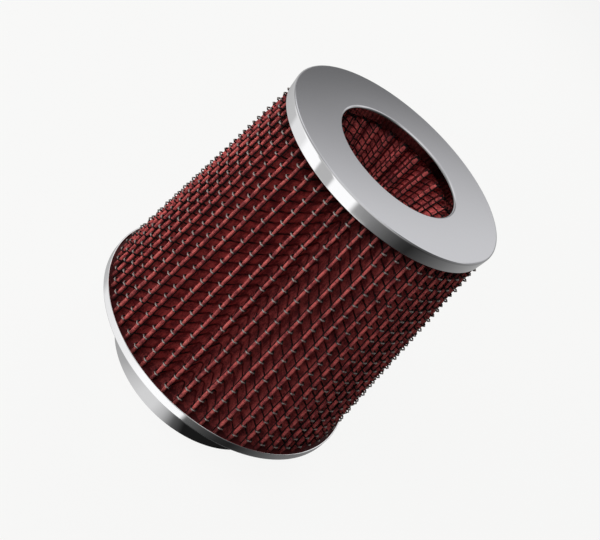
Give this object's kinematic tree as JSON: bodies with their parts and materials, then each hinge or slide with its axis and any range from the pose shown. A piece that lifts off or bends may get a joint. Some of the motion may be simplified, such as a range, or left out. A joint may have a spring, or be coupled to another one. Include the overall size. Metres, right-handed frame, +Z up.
{
  "type": "cone air filter",
  "caption": "Clamp-on conical engine intake filter with a plated flange and neck, pleated gauze under wire cloth, and an open cap with an inverted inner cone.",
  "frame": {"origin": "middle of the neck's lower end, in its plane", "axes": "+Z up the filter's axis from the neck to the cap; X and Y across it, with a fold tip of both pleated rings on +X"},
  "size_m": [0.152, 0.152, 0.17],
  "materials": {
    "plated_steel": "polished",
    "satin_steel": "satin face, polished skirt",
    "gauze": "oiled cotton, matte",
    "wire": "semi-gloss",
    "rubber": "matte",
    "potting": "matte"
  },
  "bodies": {
    "root": {"base_flange": "plated_steel", "pipe_sleeve": "rubber", "base_seal": "potting", "outer_media": "gauze", "outer_screen": "wire", "top_cap": "satin_steel", "top_seal": "potting", "cone_media": "gauze", "cone_screen": "wire", "cone_plug": "rubber"}
  },
  "joints": []
}
